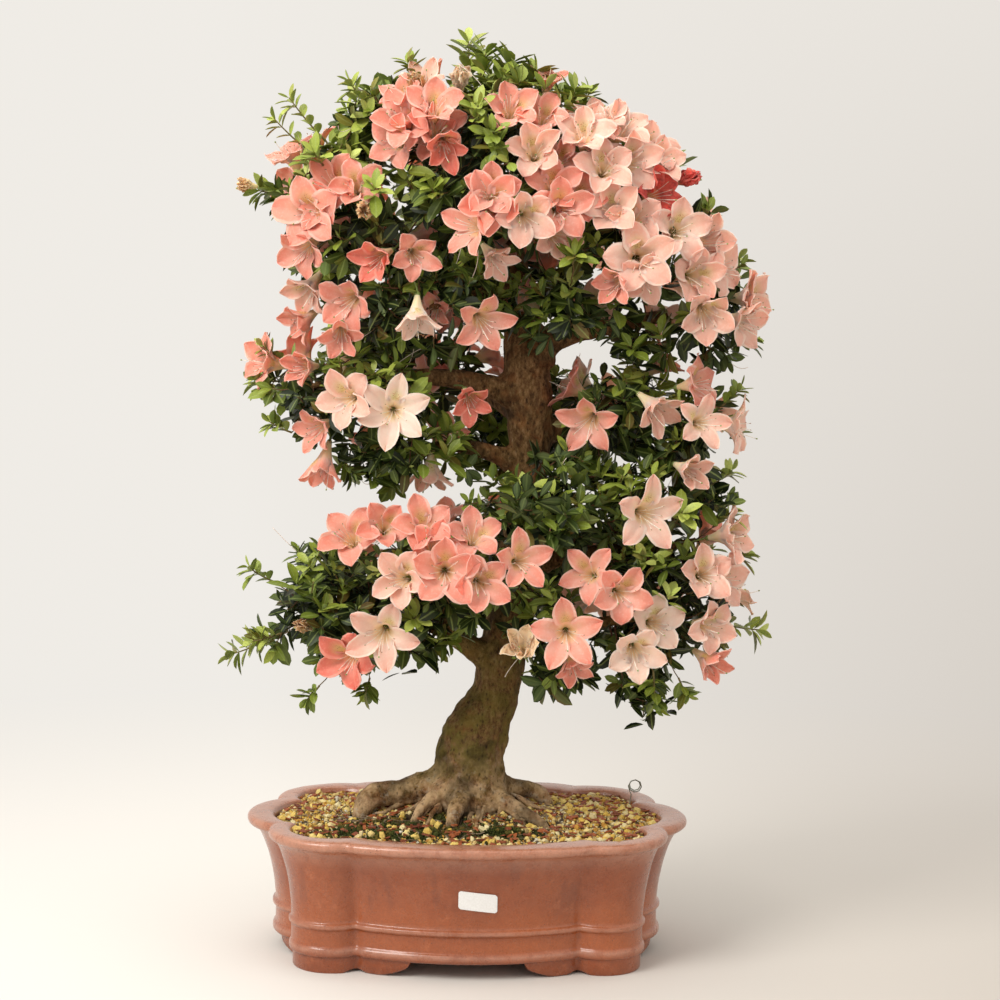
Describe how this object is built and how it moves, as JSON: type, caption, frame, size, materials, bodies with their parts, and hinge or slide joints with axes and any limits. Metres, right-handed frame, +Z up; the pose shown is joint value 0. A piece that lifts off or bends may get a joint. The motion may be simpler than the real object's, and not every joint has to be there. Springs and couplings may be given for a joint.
{
  "type": "flowering azalea bonsai in a pot",
  "caption": "Azalea bonsai in full coral-pink bloom, with spreading surface roots, in a lobed oval brown stoneware pot with bracket feet.",
  "frame": {"origin": "middle of the plant's footprint, on the surface that the pot's feet stand on", "axes": "+Z up along the tree's height, -Y the front with the label, +X to the right of someone facing it"},
  "size_m": [0.5722, 0.3828, 0.9411],
  "materials": {
    "stoneware": "satin",
    "granules": "matte",
    "moss": "matte",
    "bark": "matte",
    "leaf": "satin",
    "young_leaf": "satin",
    "petal_coral": "matte",
    "petal_pale": "matte",
    "petal_white": "matte",
    "plastic_mesh": "matte",
    "wire": "satin",
    "label": "matte"
  },
  "bodies": {
    "root": {"blank_label": "label", "drainage_mesh_left": "plastic_mesh", "drainage_mesh_right": "plastic_mesh", "flower_back_crown": "petal_coral", "flower_back_low": "petal_coral", "flower_crown_front": "petal_coral", "flower_crown_front_right": "petal_coral", "flower_crown_left_top": "petal_coral", "flower_crown_right_front": "petal_pale", "flower_crown_right_outer": "petal_pale", "flower_crown_right_top": "petal_pale", "flower_far_right": "petal_pale", "flower_hanging_front": "petal_pale", "flower_left_shoulder": "petal_coral", "flower_left_under": "petal_pale", "flower_low_centre_right": "petal_pale", "flower_low_front": "petal_coral", "flower_low_left_front": "petal_pale", "flower_low_left_upper": "petal_coral", "flower_low_right_outer": "petal_pale", "flower_middle_left_front": "petal_white", "flower_middle_left_hanging": "petal_pale", "flower_middle_left_outer": "petal_coral", "flower_middle_right_inner": "petal_coral", "flower_middle_right_outer": "petal_pale", "flower_right_front": "petal_pale", "flower_right_shoulder": "petal_pale", "flower_upper_front": "petal_coral", "foliage_centre_front": "leaf", "foliage_crown": "leaf", "foliage_crown_back": "leaf", "foliage_crown_left": "leaf", "foliage_crown_right": "leaf", "foliage_far_right": "leaf", "foliage_low_back": "leaf", "foliage_low_centre_right": "leaf", "foliage_low_front": "leaf", "foliage_low_left": "leaf", "foliage_low_right": "leaf", "foliage_middle_back": "leaf", "foliage_middle_back_left": "leaf", "foliage_middle_far_right": "leaf", "foliage_middle_left": "leaf", "foliage_middle_left_low": "leaf", "foliage_middle_right": "leaf", "foliage_upper_front": "leaf", "foliage_upper_right_front": "leaf", "mesh_clip_left": "wire", "mesh_clip_right": "wire", "moss_left": "moss", "moss_right": "moss", "pot": "stoneware", "shoot_left_low": "young_leaf", "shoot_left_middle": "young_leaf", "shoot_left_upper": "young_leaf", "shoot_right_low": "young_leaf", "shoot_top": "young_leaf", "soil": "granules", "trunk_and_branches": "bark", "wire_pin": "wire"}
  },
  "joints": []
}
